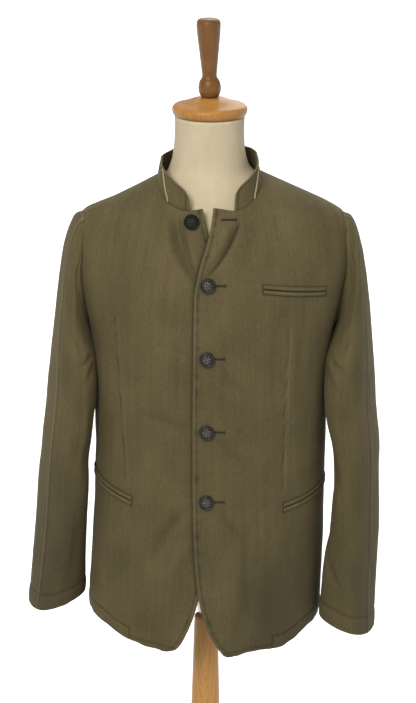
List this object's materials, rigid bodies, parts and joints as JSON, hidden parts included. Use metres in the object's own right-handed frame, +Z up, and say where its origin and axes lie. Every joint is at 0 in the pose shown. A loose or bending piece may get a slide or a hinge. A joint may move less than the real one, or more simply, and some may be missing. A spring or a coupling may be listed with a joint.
{
  "type": "trachten jacket on dress form",
  "caption": "Fitted stand-collar jacket in olive twill with metal buttons, piped collar and jetted pockets, worn by a limbless dress form on a round wooden stand.",
  "frame": {"origin": "on the floor under the middle of the stand's pole", "axes": "+Z up, -Y to the wearer's front, +X to the wearer's left"},
  "size_m": [0.5684, 0.35, 1.603],
  "materials": {
    "olive_twill": "matt olive-brown cotton twill",
    "tan_cord": "tan covered cord",
    "old_metal": "dark aged silver-grey metal",
    "grey_steel": "grey steel tube",
    "cream_cover": "smooth cream cotton cover",
    "turned_wood": "satin honey-brown turned wood"
  },
  "bodies": {
    "root": {"front_left": "olive_twill", "front_right": "olive_twill", "back_left": "olive_twill", "back_right": "olive_twill", "sleeve_left_front": "olive_twill", "sleeve_left_back": "olive_twill", "sleeve_right_front": "olive_twill", "sleeve_right_back": "olive_twill", "collar_left": "olive_twill", "collar_right": "olive_twill", "collar_back": "olive_twill", "chest_pocket_upper_jet": "olive_twill", "chest_pocket_lower_jet": "olive_twill", "hip_pocket_left_upper_jet": "olive_twill", "hip_pocket_left_lower_jet": "olive_twill", "hip_pocket_right_upper_jet": "olive_twill", "hip_pocket_right_lower_jet": "olive_twill", "collar_piping_left": "tan_cord", "collar_piping_right": "tan_cord", "button_1": "old_metal", "button_2": "old_metal", "button_3": "old_metal", "button_4": "old_metal", "button_5": "old_metal", "pole_ferrule": "grey_steel", "form_body": "cream_cover", "neck_cap": "turned_wood", "neck_finial": "turned_wood", "stand_pole": "turned_wood", "stand_base": "turned_wood"}
  },
  "joints": []
}
